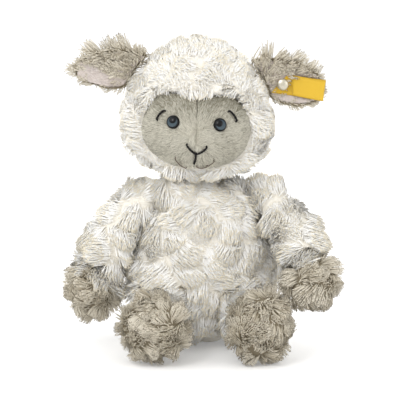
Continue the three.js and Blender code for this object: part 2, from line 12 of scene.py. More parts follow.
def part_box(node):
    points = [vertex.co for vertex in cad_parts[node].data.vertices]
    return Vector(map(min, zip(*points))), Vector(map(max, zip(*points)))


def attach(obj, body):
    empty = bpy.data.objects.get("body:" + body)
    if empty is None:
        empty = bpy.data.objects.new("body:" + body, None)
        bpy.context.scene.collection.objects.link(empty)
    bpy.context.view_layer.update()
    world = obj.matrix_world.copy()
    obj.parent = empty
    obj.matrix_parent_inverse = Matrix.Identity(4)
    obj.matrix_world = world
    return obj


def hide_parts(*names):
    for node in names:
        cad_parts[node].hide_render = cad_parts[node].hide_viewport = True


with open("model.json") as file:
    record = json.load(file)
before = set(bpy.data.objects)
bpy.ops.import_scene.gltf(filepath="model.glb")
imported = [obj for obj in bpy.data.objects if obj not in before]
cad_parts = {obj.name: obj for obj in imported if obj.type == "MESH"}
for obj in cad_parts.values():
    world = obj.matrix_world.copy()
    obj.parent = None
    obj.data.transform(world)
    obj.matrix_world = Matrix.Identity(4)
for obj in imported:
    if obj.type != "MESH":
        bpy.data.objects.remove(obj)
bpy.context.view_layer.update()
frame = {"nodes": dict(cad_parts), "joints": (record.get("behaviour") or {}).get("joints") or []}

# The camera and the light. A long lens looks ten degrees down on the toy's front, where a pixel of the
# 400 pixel frame is 0.6 mm. A big soft lamp stands high on the left, with a small one by it that glints
# in the eyes, and weaker ones stand on the right and behind, over a pale table.
MM = 0.001
PIXEL = 0.6 * MM
FRAME_WIDTH = 400 * PIXEL
CAMERA_AWAY = 1.7
CAMERA_RISE = math.radians(10)
CAMERA_AIM = Vector((-3 * MM, 0, 86.3 * MM))
SENSOR = 36
TABLE_SIZE = 2.5
TABLE_DROP = 0.3 * MM
TABLE_GLOW = (0.2, 0.2, 0.2, 1)
ROOM_LIGHT = 0.93

scene = bpy.context.scene
camera = bpy.data.objects.new("camera", bpy.data.cameras.new("camera"))
camera.data.sensor_width = SENSOR
camera.data.lens = SENSOR * CAMERA_AWAY / FRAME_WIDTH
camera.data.clip_start = 0.05
camera.location = CAMERA_AIM + CAMERA_AWAY * Vector((0, -math.cos(CAMERA_RISE), math.sin(CAMERA_RISE)))
camera.rotation_euler = (math.pi / 2 - CAMERA_RISE, 0, 0)
scene.collection.objects.link(camera)
scene.camera = camera
scene.view_settings.view_transform = "Standard"


def lamp(name, place, size, watts):
    """A square soft lamp that looks at the middle of the toy."""
    light = bpy.data.lights.new(name, "AREA")
    light.size = size
    light.energy = watts
    holder = bpy.data.objects.new(name, light)
    holder.location = place
    holder.rotation_euler = (Vector(place) - CAMERA_AIM).to_track_quat("Z", "Y").to_euler()
    scene.collection.objects.link(holder)


lamp("key", (-0.55, -0.75, 0.95), 1.0, 4.0)
lamp("spark", (-0.42, -0.95, 0.86), 0.2, 1.7)
lamp("fill", (0.9, -0.8, 0.45), 0.8, 1.5)
lamp("back", (0.3, 0.95, 0.8), 0.8, 3)


class Value:
    """A socket that does sums: each operator adds the Math node for it."""

    def __init__(self, finish, socket):
        self.finish = finish
        self.socket = socket

    def math(self, operation, *inputs):
        return self.finish.add("Math", {"operation": operation}, dict(enumerate(inputs)))

    def __add__(self, other):
        return self.math("ADD", self, other)

    __radd__ = __add__

    def __sub__(self, other):
        return self.math("SUBTRACT", self, other)

    def __rsub__(self, other):
        return self.math("SUBTRACT", other, self)

    def __mul__(self, other):
        return self.math("MULTIPLY", self, other)

    __rmul__ = __mul__

    def __pow__(self, other):
        return self.math("POWER", self, other)


class Finish:
    """A material or world under way: its shader, and one method that adds any other node."""

    def __init__(self, name, kept_in=bpy.data.materials, shader="Principled BSDF", **numbers):
        self.material = kept_in.new(name)
        self.material.use_nodes = True
        self.tree = self.material.node_tree
        self.shader = self.tree.nodes[shader]
        for socket, number in numbers.items():
            self.shader.inputs[socket.replace("_", " ")].default_value = number

    def add(self, kind, settings=None, inputs=None, output=0):
        node = self.tree.nodes.new("ShaderNode" + kind)
        for key, setting in (settings or {}).items():
            if key == "stops":
                ramp = node.color_ramp
                while len(ramp.elements) < len(setting):
                    ramp.elements.new(1)
                for element, (place, colour) in zip(ramp.elements, setting):
                    element.position = place
                    element.color = colour
            else:
                setattr(node, key, setting)
        for key, given in (inputs or {}).items():
            self.feed(node.inputs[key], given)
        return Value(self, node.outputs[output])

    def feed(self, socket, given):
        if isinstance(given, Value):
            self.tree.links.new(given.socket, socket)
        else:
            socket.default_value = given

    def mix(self, share, first, second, blend="MIX"):
        settings = {"data_type": "RGBA", "blend_type": blend}
        return self.add("Mix", settings, {0: share, 6: first, 7: second}, 2)

    def noise(self, scale, detail=2.0):
        return self.add("TexNoise", None, {"Vector": self.place(), "Scale": scale, "Detail": detail})

    def place(self):
        return self.add("TexCoord", output="Object")

    def bump(self, height, strength, distance):
        inputs = {"Height": height, "Strength": strength, "Distance": distance}
        self.feed(self.shader.inputs["Normal"], self.add("Bump", None, inputs))

    def paint(self, **values):
        for socket, given in values.items():
            self.feed(self.shader.inputs[socket.replace("_", " ")], given)


def ink(*screen):
    """A colour as a screen shows it, three numbers to 255, turned to the linear one a socket takes."""
    return tuple(((c / 255 + 0.055) / 1.055) ** 2.4 if c > 10 else c / 3294.6 for c in screen) + (1,)


def made(name, form):
    """The object that a form under way has come to."""
    mesh = bpy.data.meshes.new(name)
    form.to_mesh(mesh)
    form.free()
    return bpy.data.objects.new(name, mesh)


def ground():
    """The pale table, which keeps the toy's shadow and otherwise renders white."""
    form = bmesh.new()
    bmesh.ops.create_grid(form, x_segments=1, y_segments=1, size=TABLE_SIZE)
    bmesh.ops.translate(form, verts=form.verts, vec=(0, 0, -TABLE_DROP))
    table = made("table", form)
    scene.collection.objects.link(table)
    finish = Finish("pale_table", Roughness=0.9, Emission_Strength=1)
    finish.paint(Base_Color=finish.mix(finish.noise(3.0), ink(247, 247, 247), ink(250, 250, 250)))
    seen = finish.add("LightPath", output="Is Camera Ray")
    finish.paint(Emission_Color=finish.mix(seen, (0, 0, 0, 1), TABLE_GLOW))
    table.data.materials.append(finish.material)


def sky():
    """An even white room, a little brighter where the camera or a gloss looks at it."""
    room = Finish("room", bpy.data.worlds, "Background", Color=(1, 1, 1, 1))
    seen = room.add("LightPath", output="Is Camera Ray")
    for ray in ("Is Glossy Ray", "Is Transmission Ray"):
        seen = seen.math("MAXIMUM", seen, room.add("LightPath", output=ray))
    room.paint(Strength=ROOM_LIGHT + (1 - ROOM_LIGHT) * seen)
    scene.world = room.material


ground()
sky()

# The torso. A pear of long white pile, cut in two halves and sewn up the tummy, then stuffed. The
# cover is knitted cloth; its pile is about 10 mm long and is brushed into waves.
CLOTH_EVEN = 2.6 * MM
TORSO_DRAWN_IN = 1.2 * MM
LOCK_APART = 9.5 * MM
LOCK_HEIGHT = 2.6 * MM
LOCK_STRETCH = 1.7
PILE_LENGTH = 10.5 * MM
PILE_SPACING = 0.9 * MM
PILE_RADIUS = 0.3 * MM
TONES = 256
FILLING_PRESSURE = 4
FILLING_FRAMES = 20
FILLING_GIVE = 1.6
LOCKS_KEPT = 0.7
LOCK_WIDTH = 1.1
LOCKS_NEAR = 6
LOOSE_SWAY = 1.1
LOOSE_RISE = 0.25
LOOSE_FALL = 0.1
LOOSE_LENGTH = 0.7
SHORTEST = 0.55
ROOTS_APART = 0.83
TABLE_CLEAR = 0.5 * MM
FAR_OUTSIDE = 4 * MM
SEWN_ON = ("head", "left_arm", "right_arm", "left_leg", "right_leg", "tail")
TORSO_SWELLS = (
    ((-38, -8, 38), 26, 8.5),
    ((38, -4, 50), 22, 5),
    ((-24, -6, 95), 12, 6),
    ((27, -4, 98), 13, 10),
)


def joined(piece, body, material):
    """Links a finished piece, gives it its finish and lets it ride on its body."""
    scene.collection.objects.link(piece)
    piece.data.materials.append(material)
    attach(piece, body)


def settled(piece):
    """Applies a piece's modifiers."""
    bpy.context.view_layer.update()
    graph = bpy.context.evaluated_depsgraph_get()
    mesh = bpy.data.meshes.new_from_object(piece.evaluated_get(graph))
    piece.modifiers.clear()
    piece.data = mesh


def points_of(mesh):
    """The places of a mesh's points, and their normals."""
    places = np.empty(len(mesh.vertices) * 3)
    normals = np.empty(len(mesh.vertices) * 3)
    mesh.vertices.foreach_get("co", places)
    mesh.vertex_normals.foreach_get("vector", normals)
    return places.reshape(-1, 3), normals.reshape(-1, 3)


def moved(mesh, change):
    """Moves a mesh's points by a function of their places and normals."""
    mesh.vertices.foreach_set("co", change(*points_of(mesh)).ravel())
    mesh.update()


def swollen(piece, most):
    """Blows the filling into a cover, as cloth under pressure; no point ends further off than most."""
    slack = points_of(piece.data)[0]
    cloth = piece.modifiers.new("filling", "CLOTH")
    cloth.settings.use_pressure = True
    cloth.settings.uniform_pressure_force = FILLING_PRESSURE
    cloth.settings.effector_weights.gravity = 0
    cloth.point_cache.frame_start = 1
    cloth.point_cache.frame_end = FILLING_FRAMES
    for step in range(1, FILLING_FRAMES + 1):
        scene.frame_set(step)
    settled(piece)
    scene.frame_set(1)

    def held(places, normals):
        travel = places - slack
        length = np.linalg.norm(travel, axis=1, keepdims=True)
        return slack + travel * np.minimum(1, most / np.maximum(length, 1e-9))

    moved(piece.data, held)


def cover(name, node, even, drawn_in, smooth=6, swell=0.0):
    """The sewn cover of a stuffed form: evened, drawn in under its pile, rounded and filled."""
    form = bmesh.new()
    form.from_mesh(frame["nodes"][node].data)
    bmesh.ops.remove_doubles(form, verts=form.verts, dist=0.01 * MM)
    piece = made(name, form)
    scene.collection.objects.link(piece)
    evened = piece.modifiers.new("even cloth", "REMESH")
    evened.mode = "VOXEL"
    evened.voxel_size = even
    rounded = piece.modifiers.new("rounded", "SMOOTH")
    rounded.iterations = smooth
    settled(piece)
    moved(piece.data, lambda places, normals: places - normals * (drawn_in + swell))
    if swell:
        swollen(piece, FILLING_GIVE * swell)
    fine = piece.modifiers.new("fine", "SUBSURF")
    fine.levels = fine.render_levels = 1
    settled(piece)
    piece.data.shade_smooth()
    scene.collection.objects.unlink(piece)
    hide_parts(node)
    return piece


class Locks:
    """The locks that a pile is brushed into: their middles, and the way each lies on the cover."""

    def __init__(self, places, normals, comb, chance, apart, sway):
        order = chance.permutation(len(places))
        chosen = order[thinned(places[order], apart)]
        chosen = chosen[chance.random(len(chosen)) < LOCKS_KEPT]
        self.apart = LOCK_WIDTH * apart
        self.middles = places[chosen]
        lie = flattened(comb(places[chosen], normals[chosen]), normals[chosen])
        turn = chance.normal(0, sway, len(chosen))[:, None]
        self.lie = lie * np.cos(turn) + np.cross(normals[chosen], lie) * np.sin(turn)
        self.tree = tree_of(self.middles)

    def own(self, places):
        """The lock of each place, and how far along and aside of its middle it is, in lock widths."""
        many = min(LOCKS_NEAR, len(self.middles))
        near = np.array([[number for _, number, _ in self.tree.find_n(place, many)] for place in places])
        away = (places[:, None] - self.middles[near]) / self.apart
        along = (away * self.lie[near]).sum(2)
        aside = np.sqrt(np.maximum((away * away).sum(2) - along * along, 0))
        best = ((along / LOCK_STRETCH) ** 2 + aside**2).argmin(1)
        row = np.arange(len(places))
        return near[row, best], along[row, best], aside[row, best]


def heaped(piece, comb, seed, apart=LOCK_APART, height=LOCK_HEIGHT, sway=0.6):
    """Brushes a cover's pile into locks, and heaps the cover under them, so they lie like shingles."""
    chance = np.random.default_rng(seed)
    locks = []

    def heap(places, normals):
        locks.append(Locks(places, normals, comb, chance, apart, sway))
        _, along, aside = locks[0].own(places)
        reach = (along / LOCK_STRETCH) ** 2 + aside**2
        lift = (1 - np.minimum(1, 1.6 * reach)) * (0.75 + 0.5 * along)
        return places + normals * (height * (lift - 0.5))[:, None]

    moved(piece.data, heap)
    return locks[0]


def flattened(ways, normals):
    """Directions laid flat on a surface."""
    return unit(ways - normals * (ways * normals).sum(1, keepdims=True))


def tree_of(points):
    """Points sorted so that the nearest ones are found fast."""
    tree = kdtree.KDTree(len(points))
    for number, point in enumerate(points):
        tree.insert(point, number)
    tree.balance()
    return tree


def knitted(name, colour, shade):
    """The knitted back of the pile fabric: fine ribs and a mottled dye, its colours set darker than the
    pile as painted shade where it shows between the locks.
    """
    finish = Finish(name, Roughness=0.95)
    places = finish.place()
    ribs = finish.add("TexWave", {"bands_direction": "Z"}, {"Vector": places, "Scale": 300.0})
    finish.paint(Base_Color=finish.mix(finish.noise(180.0), colour, shade))
    finish.bump(ribs, 0.4, 0.2 * MM)
    return finish.material


def brushed(name, root, middle, tip, dark, **numbers):
    """A pile's dye, darker at the root as painted shade deep in the pile. The strand's own map gives its
    tone across and the way from root to tip along.
    """
    white = (1, 1, 1, 1)
    finish = Finish(name, **numbers)
    strand = finish.add("UVMap", {"uv_map": "OFBake"})
    across = finish.add("SeparateXYZ", None, {0: strand})
    along = finish.add("SeparateXYZ", None, {0: strand}, 1)
    # The darker root colour is painted shade, standing for the depth of the pile.
    dye_and_painted_root_shade = finish.add("ValToRGB", {"stops": [(0, root), (0.38, middle), (1, tip)]}, {0: along})
    tone = finish.add("ValToRGB", {"stops": [(0, dark), (0.5, white), (1, white)]}, {0: across})
    finish.paint(Base_Color=finish.mix(1.0, dye_and_painted_root_shade, tone, "MULTIPLY"))
    finish.paint(Roughness=0.72 - 0.12 * along)
    return finish.material


def thinned(points, apart):
    """The numbers of points that are left when none may be nearer to another than apart."""
    tree = tree_of(points)
    gone = np.zeros(len(points), bool)
    kept = []
    for number, point in enumerate(points):
        if gone[number]:
            continue
        kept.append(number)
        for _, near, _ in tree.find_range(point, apart):
            gone[near] = True
    return np.array(kept)


def scattered(mesh, spacing, chance):
    """Candidate roots all over a cover, three times too many, with the cover's normals."""
    mesh.calc_loop_triangles()
    corners = np.empty(len(mesh.loop_triangles) * 3, int)
    mesh.loop_triangles.foreach_get("vertices", corners)
    corners = corners.reshape(-1, 3)
    places, normals = (values[corners] for values in points_of(mesh))
    sides = places[:, 1:] - places[:, :1]
    area = np.linalg.norm(np.cross(sides[:, 0], sides[:, 1]), axis=1) / 2
    pick = chance.choice(len(area), int(3 * area.sum() / spacing**2), p=area / area.sum())
    side = np.sqrt(chance.random(len(pick)))
    way = chance.random(len(pick))
    share = np.stack([1 - side, side * (1 - way), side * way], axis=1)[:, :, None]
    return (places[pick] * share).sum(1), unit((normals[pick] * share).sum(1))


def unit(vectors):
    """Vectors made one long."""
    return vectors / np.maximum(np.linalg.norm(vectors, axis=-1, keepdims=True), 1e-9)


def uncovered(points, nodes):
    """Which points lie outside these solids, by more than the distance given for each."""
    free = np.ones(len(points), bool)
    for node, clear in nodes.items():
        mesh = frame["nodes"][node].data
        faces = [p.vertices for p in mesh.polygons]
        tree = bvhtree.BVHTree.FromPolygons([v.co for v in mesh.vertices], faces)
        for number in np.nonzero(free)[0]:
            point = Vector(points[number])
            near, normal, _, away = tree.find_nearest(point)
            free[number] = away > FAR_OUTSIDE or (point - near).dot(normal) > clear
    return free


def strand_form(levels):
    """One strand, drawn up from a triangle in steps, with its ring's number for each point."""
    form = bmesh.new()
    bmesh.ops.create_circle(form, cap_ends=True, segments=3, radius=1)
    bmesh.ops.reverse_faces(form, faces=form.faces[:])
    rim = form.edges[:]
    for low, high in zip(levels, levels[1:]):
        pulled = bmesh.ops.extrude_edge_only(form, edges=rim)["geom"]
        ring = [g for g in pulled if isinstance(g, bmesh.types.BMVert)]
        rim = [g for g in pulled if isinstance(g, bmesh.types.BMEdge) and set(g.verts) <= set(ring)]
        bmesh.ops.translate(form, verts=ring, vec=(0, 0, high - low))
    bmesh.ops.pointmerge(form, verts=ring, merge_co=(0, 0, levels[-1]))
    bmesh.ops.recalc_face_normals(form, faces=form.faces[:])
    return form


class Strand:
    """The strand's points, faces and map, ready to be laid out thousands of times."""

    def __init__(self, *levels):
        form = strand_form(levels)
        form.verts.index_update()
        self.levels = np.array(levels)
        self.points = np.array([v.co[:] for v in form.verts])
        self.ring = np.abs(self.points[:, 2:] - self.levels).argmin(1)
        self.loops = np.array([v.index for f in form.faces for v in f.verts])
        sizes = np.array([len(f.verts) for f in form.faces])
        self.starts = np.cumsum(sizes) - sizes
        self.map = np.array([place for f in form.faces for place in self.face_map(f)])
        form.free()

    def face_map(self, face):
        """A side lies across the strand's own narrow column of the map, the root's cap at its foot."""
        if abs(face.normal.z) > 0.9:
            return [(0, 0), (1, 0), (0.5, 0.02)]
        turns = [
            math.atan2(v.co.x, v.co.y) if v.co.xy.length > 1e-6 else None for v in face.verts
        ]
        first = min((t for t in turns if t is not None), key=lambda t: math.sin(t - turns_middle(turns)))
        spots = []
        for vert, turn in zip(face.verts, turns):
            across = 0.5 if turn is None else float(abs(turn - first) > 0.1)
            spots.append((across, 0.02 + 0.97 * vert.co.z / self.levels[-1]))
        return spots


def turns_middle(turns):
    """The middle direction of a strand's side, from the directions of its corners."""
    known = [t for t in turns if t is not None]
    return math.atan2(sum(math.sin(t) for t in known), sum(math.cos(t) for t in known))


def rooted(mesh, spacing, chance, grows, clear_of):
    """Where strands are rooted: evenly, only where the pile grows, and clear of the given solids."""
    roots, normals = scattered(mesh, spacing, chance)
    if grows:
        chosen = grows(roots, normals)
        roots, normals = roots[chosen], normals[chosen]
    chosen = uncovered(roots, clear_of or {})
    roots, normals = roots[chosen], normals[chosen]
    kept = thinned(roots, ROOTS_APART * spacing)
    return roots[kept], normals[kept]


def grown(
    name,
    cloth,
    strand,
    locks,
    seed,
    spacing=PILE_SPACING,
    length=PILE_LENGTH,
    radius=PILE_RADIUS,
    taper=(1, 1.05, 0.9, 0),
    lift=(34, 9),
    tumble=6,
    sway=0.1,
    curl=0.5,
    wave=0.0,
    overhang=0.5,
    pinch=0.15,
    stray=0.02,
    fluff=0.15,
    sink=0.6 * MM,
    floor=0.0,
    rounding=0.3,
    ribbing=1.15,
    shades=0.04,
    grain=0.03,
    grows=None,
    clear_of=None,
    reach=None,
    tone=None,
):
    """Pile on a cover, in locks that each lie and bend their own way and end in a blunt front.

    Lift is the angle off the cover in degrees at root and tip, and tumble how far it varies from lock
    to lock; sway turns each strand, curl and wave bend each lock, pinch gathers it, and fluff is the
    share of loose strands. Rounding and ribbing shade a lock and a strand. Grows, reach and tone are
    functions of the roots' places and normals.
    """
    chance = np.random.default_rng(seed)
    roots, normals = rooted(cloth.data, spacing, chance, grows, clear_of)
    own, along, aside = locks.own(roots)
    from_middle = roots - locks.middles[own]
    count = len(roots)

    def lock_wise(low, high):
        return chance.uniform(low, high, len(locks.middles))[own]

    lie = flattened(locks.lie[own], normals)
    loose = (chance.random(count) < fluff)[:, None]
    turn = chance.normal(0, 1, count)[:, None] * np.where(loose, LOOSE_SWAY, sway)
    lie = lie * np.cos(turn) + np.cross(normals, lie) * np.sin(turn)
    side = np.cross(normals, lie)
    tilt = lock_wise(-1, 1) * tumble
    rise = np.radians(lift[0] + tilt)[:, None] + np.where(loose, LOOSE_RISE, 0)
    fall = np.radians(lift[1] + tilt)[:, None] + np.where(loose, LOOSE_FALL, 0)
    bend = lock_wise(-1, 1)[:, None] * curl
    start = normals * np.sin(rise) + lie * np.cos(rise)
    end = normals * np.sin(fall) + (lie * np.cos(bend) + side * np.sin(bend)) * np.cos(fall)
    front = 0.75 * np.sqrt(np.maximum(0, 1 - (aside / 0.8) ** 2)) + overhang
    run = np.clip((front - along) * locks.apart, SHORTEST * length, length)
    run = run * lock_wise(0.85, 1.12) * chance.uniform(0.92, 1.05, count)
    run = run * np.where(loose[:, 0], LOOSE_LENGTH, 1)
    if reach:
        run = run * reach(roots, normals)
    levels = strand.levels
    swing = wave * lock_wise(0.5, 1.2)[:, None]
    phase = lock_wise(0, 2 * math.pi)[:, None]
    path = [roots - normals * sink]
    ways = [start]
    for before, after in zip(levels, levels[1:]):
        middle = (before + after) / 2
        way = unit(start * (1 - middle) + end * middle + side * swing * np.cos(7 * middle + phase))
        path.append(path[-1] + way * (after - before) * run[:, None])
        ways.append(way)
    centre = np.stack(path, 1)
    steps = levels[None, :, None]
    astray = chance.normal(0, stray, (count, 1, 3)) * run[:, None, None]
    gather = from_middle * pinch * lock_wise(0.5, 1.5)[:, None]
    centre = centre + astray * steps - gather[:, None, :] * steps**1.3
    if floor:
        lowest = floor * (1 + chance.random((count, 1)))
        centre[:, :, 2] = np.maximum(centre[:, :, 2], lowest)
    thick = radius * chance.uniform(0.8, 1.2, (count, 1, 1)) * np.array(taper)[:, None]
    across = side[:, None, :]
    over = unit(np.cross(np.stack(ways, 1), across))
    ring = strand.ring
    own_way = -across * strand.points[:, 0, None] - over[:, ring] * strand.points[:, 1, None]
    spots = centre[:, ring] + thick[:, ring] * own_way
    shade = 0.5 + lock_wise(-1, 1) * shades + chance.normal(0, grain, count)
    if tone:
        shade = shade + tone(roots, normals)
    outward = unit(normals + rounding * from_middle / locks.apart)
    looks = unit(outward[:, None, :] + ribbing * own_way)
    return laid_out(name, strand, spots, looks, np.clip(shade, 0.02, 0.97))


def laid_out(name, strand, spots, looks, tone):
    """Many copies of a strand as one mesh, each with its own column of the map and its soft shading."""
    copies, points = spots.shape[:2]
    mesh = bpy.data.meshes.new(name)
    mesh.vertices.add(copies * points)
    mesh.vertices.foreach_set("co", spots.ravel())
    first = np.arange(copies)[:, None]
    mesh.loops.add(copies * len(strand.loops))
    mesh.loops.foreach_set("vertex_index", (strand.loops + first * points).ravel())
    mesh.polygons.add(copies * len(strand.starts))
    mesh.polygons.foreach_set("loop_start", (strand.starts + first * len(strand.loops)).ravel())
    mesh.update(calc_edges=True)
    column = np.empty((copies, len(strand.loops), 2))
    column[:, :, 0] = (tone[:, None] * TONES + strand.map[:, 0]) / (TONES + 1)
    column[:, :, 1] = strand.map[:, 1]
    mesh.uv_layers.new(name="OFBake").data.foreach_set("uv", column.ravel())
    mesh.shade_smooth()
    mesh.normals_split_custom_set_from_vertices(looks.reshape(-1, 3))
    return bpy.data.objects.new(name, mesh)


LONG = Strand(0, 0.35, 0.78, 1)

# Each backing is set darker than its pile, as painted shade where it shows between the locks; its mottle
# is its own.
white_back = knitted("white_backing", ink(248, 244, 234), ink(242, 237, 226))
# Each pile's first colour is its root, darker as painted shade deep in the pile.
white_pile = brushed(
    "white_pile",
    ink(241, 232, 210),
    ink(253, 251, 246),
    ink(254, 254, 252),
    ink(249, 246, 240),
    Sheen_Weight=0.3,
)


def torso_waves(places, normals):
    """The torso's pile hangs, and each row of it is brushed to the other side."""
    swing = 1.3 * np.sin(places[:, 2] / (6.5 * MM) + 1.5 * np.sin(places[:, 0] / (16 * MM)))
    return np.stack([swing, np.zeros(len(places)), -np.ones(len(places))], 1)


def fuller(*swells):
    """A change that swells a cover round places, each with its reach and height, in millimetres."""

    def swollen_out(places, normals):
        height = np.zeros(len(places))
        for middle, reach, rise in swells:
            away = np.linalg.norm(places - np.array(middle) * MM, axis=1)
            height += rise * MM * np.exp(-((away / (reach * MM)) ** 2))
        return places + normals * height[:, None]

    return swollen_out


torso_cover = cover("torso_cover", "torso", CLOTH_EVEN, TORSO_DRAWN_IN, swell=1.5 * MM)
moved(torso_cover.data, fuller(*TORSO_SWELLS))
torso_locks = heaped(torso_cover, torso_waves, 10, sway=0.55)
joined(torso_cover, "torso", white_back)
for half, facing in (("front", -1), ("back", 1)):
    torso_pile = grown(
        "torso_" + half + "_pile",
        torso_cover,
        LONG,
        torso_locks,
        seed=11,
        grows=lambda places, normals: (places[:, 1] * facing > 0) & (places[:, 2] > 2.5 * MM),
        reach=lambda places, normals: np.clip(places[:, 2] / (11 * MM), 0.3, 1),
        clear_of=dict.fromkeys(SEWN_ON, -2.5 * MM),
        wave=0.5,
        floor=TABLE_CLEAR,
    )
    joined(torso_pile, "torso", white_pile)

# The tail. A short padded drop of the same white fabric, sewn by its top end to the seam up the
# toy's back.
TAIL_DRAWN_IN = 1.2 * MM


def hanging(places, normals):
    """Straight down, and a little away from the back."""
    return np.tile([0.0, 0.15, -1.0], (len(places), 1))


tail_cover = cover("tail_cover", "tail", 1.4 * MM, TAIL_DRAWN_IN)
tail_locks = heaped(tail_cover, hanging, 12, apart=6 * MM, height=1 * MM)
joined(tail_cover, "tail", white_back)
tail_pile = grown(
    "tail_pile",
    tail_cover,
    LONG,
    tail_locks,
    seed=12,
    length=9 * MM,
    clear_of={"torso": -1 * MM},
)
joined(tail_pile, "tail", white_pile)

# The turned-in seam edges. Where the head and a limb are sewn on, the cloth's edges are turned in and
# stand as a ring round the joint, out of sight. They are the same knitted backing, without its pile.
SEAM_SHARE = 0.62


def middle_of(node):
    """The middle of a solid's box."""
    low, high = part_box(node)
    return (np.array(low) + np.array(high)) / 2


for body in ("neck", "left_shoulder", "right_shoulder", "left_hip", "right_hip"):
    ring = body + "_seam"
    turned_edge = cover(ring + "_edge", ring, 1 * MM, 0.1 * MM, smooth=2)
    middle = middle_of(ring)
    moved(turned_edge.data, lambda places, normals: middle + (places - middle) * SEAM_SHARE)
    joined(turned_edge, body, white_back)

# The head. A round hood of white pile, cut from four gores, with an opening for the face. It is
# stuffed hard. Its pile is brushed away from the face and down the back, with one lock over the brow.
HOOD_DRAWN_IN = 1.4 * MM
RIM_SHARE = 1.34
RIM_ROLL = 2.4 * MM
ROLL_OUT = 1.16
ROLL_WIDTH = 0.14
PANEL_EDGE = 0.94
BROW_LOW = 0.45
CHEEKS = (((-54, 4, 132), 26, 2.6), ((38, 2, 126), 28, 3.2), ((34, 0, 110), 14, 1.5))
JOINT = {j["name"]: np.array(j["pos_m"]) for j in frame["joints"]}
NECK = Vector(JOINT["head_nod"])
LEAN = math.radians(3.5)
FACE_RISE = 44 * MM
FACE_HALF_WIDTH = 31 * MM
FACE_HALF_HEIGHT = 22.5 * MM
MUZZLE_FRONT = 44 * MM
MUZZLE_BULGE = 21 * MM
FACE_CLOTH = 2.2 * MM
FACE_GAP = 0.6 * MM
HOOD_CLEAR = {
    "torso": 0,
    "left_ear": 0,
    "right_ear": 0,
    "left_face": FACE_GAP,
    "right_face": FACE_GAP,
}
HEAD_TURN = Matrix.Translation(NECK) @ Matrix.Rotation(LEAN, 4, "Y")
HEAD_AXES = np.array(HEAD_TURN.to_3x3())


def on_face(places):
    """Places across and up from the middle of the face, as the leaning head has them."""
    local = (places - np.array(NECK)) @ HEAD_AXES
    return local[:, 0], local[:, 2] - FACE_RISE


def out_of_middle(places):
    """How far out of the face's middle places are: 1 is the edge of its panels."""
    across, up = on_face(places)
    return np.hypot(across / FACE_HALF_WIDTH, up / FACE_HALF_HEIGHT)


def over_rim(places):
    """Which places are on the roll of pile that runs round the face."""
    return (out_of_middle(places) < RIM_SHARE) & (places[:, 1] < NECK.y)


def off_the_face(places):
    """Which places the face's panels leave free."""
    return (out_of_middle(places) > PANEL_EDGE) | (places[:, 1] > NECK.y)


def hood_brushing(places, normals):
    """Away from the face and down the back of the head, but over the face's edge along the brow."""
    across, up = on_face(places)
    behind = np.clip((places[:, 1] + 10 * MM) / (40 * MM), 0, 1)
    lie = np.stack([0.4 * np.sin(up / (6 * MM)), 1 - 0.5 * behind, -0.3 - 0.8 * behind], 1)
    rim = over_rim(places)
    brow = np.where(up > BROW_LOW * FACE_HALF_HEIGHT, -1.0, 1.0)
    lie[rim] = np.stack([across * brow, 0.004 * brow, up * brow], 1)[rim] / FACE_HALF_WIDTH
    return lie


def brow_lock(places, normals):
    """The rim's pile is shorter over the brow, apart from one lock at its middle."""
    across, up = on_face(places)
    brow = np.clip(up / FACE_HALF_HEIGHT, 0, 1)
    tuft = (np.abs(across + 1 * MM) < 4 * MM) & (up > 0)
    return 1 - 0.3 * brow + np.where(tuft, 0.25, 0.0)


def rolled(places, normals):
    """The edge of the hood stands up in a roll round the face."""
    roll = np.exp(-(((out_of_middle(places) - ROLL_OUT) / ROLL_WIDTH) ** 2)) * (places[:, 1] < NECK.y)
    return places + normals * (RIM_ROLL * roll)[:, None]


hood_cover = cover("hood_cover", "head", CLOTH_EVEN, HOOD_DRAWN_IN, smooth=3, swell=1.2 * MM)
moved(hood_cover.data, fuller(*CHEEKS))
moved(hood_cover.data, rolled)
hood_locks = heaped(hood_cover, hood_brushing, 20, apart=7.5 * MM, height=1.2 * MM, sway=0.9)
joined(hood_cover, "head", white_back)
for part, grows, style in (
    ("front", lambda places: ~over_rim(places) & (places[:, 1] < 0), {"lift": (30, 8)}),
    ("back", lambda places: ~over_rim(places) & (places[:, 1] >= 0), {"lift": (28, 6)}),
    ("rim", over_rim, {"lift": (55, 12), "reach": brow_lock}),
):
    hood_pile = grown(
        "hood_" + part + "_pile",
        hood_cover,
        LONG,
        hood_locks,
        seed=21,
        spacing=0.82 * MM,
        radius=0.28 * MM,
        length=8.5 * MM,
        fluff=0.25,
        grows=lambda places, normals: grows(places) & off_the_face(places),
        clear_of=HOOD_CLEAR,
        wave=0.3,
        sway=0.2,
        curl=0.9,
        **style,
    )
    joined(hood_pile, "head", white_pile)

# The face. Two panels of short grey plush, sewn together down the nose and into the hood's opening, over
# a padded muzzle. The nap is brushed out from the nose; its colour is painted darker at the brow, as
# shade under the hood's rim, and paler on the nose and muzzle, as painted light where they stand out.
face_back = knitted("face_backing", ink(190, 185, 170), ink(174, 168, 154))
face_nap = brushed(
    "face_nap",
    ink(172, 167, 150),
    ink(212, 208, 192),
    ink(232, 228, 214),
    ink(140, 136, 120),
)
NAP = Strand(0, 0.5, 1)
EYE_RADIUS = 4 * MM
EYES = {"left": (13.6 * MM, 5 * MM), "right": (-13.6 * MM, 5 * MM)}


def fanned(places, normals):
    """Out from a point a little over the nose."""
    across, up = on_face(places)
    return np.stack([across, np.zeros(len(places)), up + 4 * MM], 1)


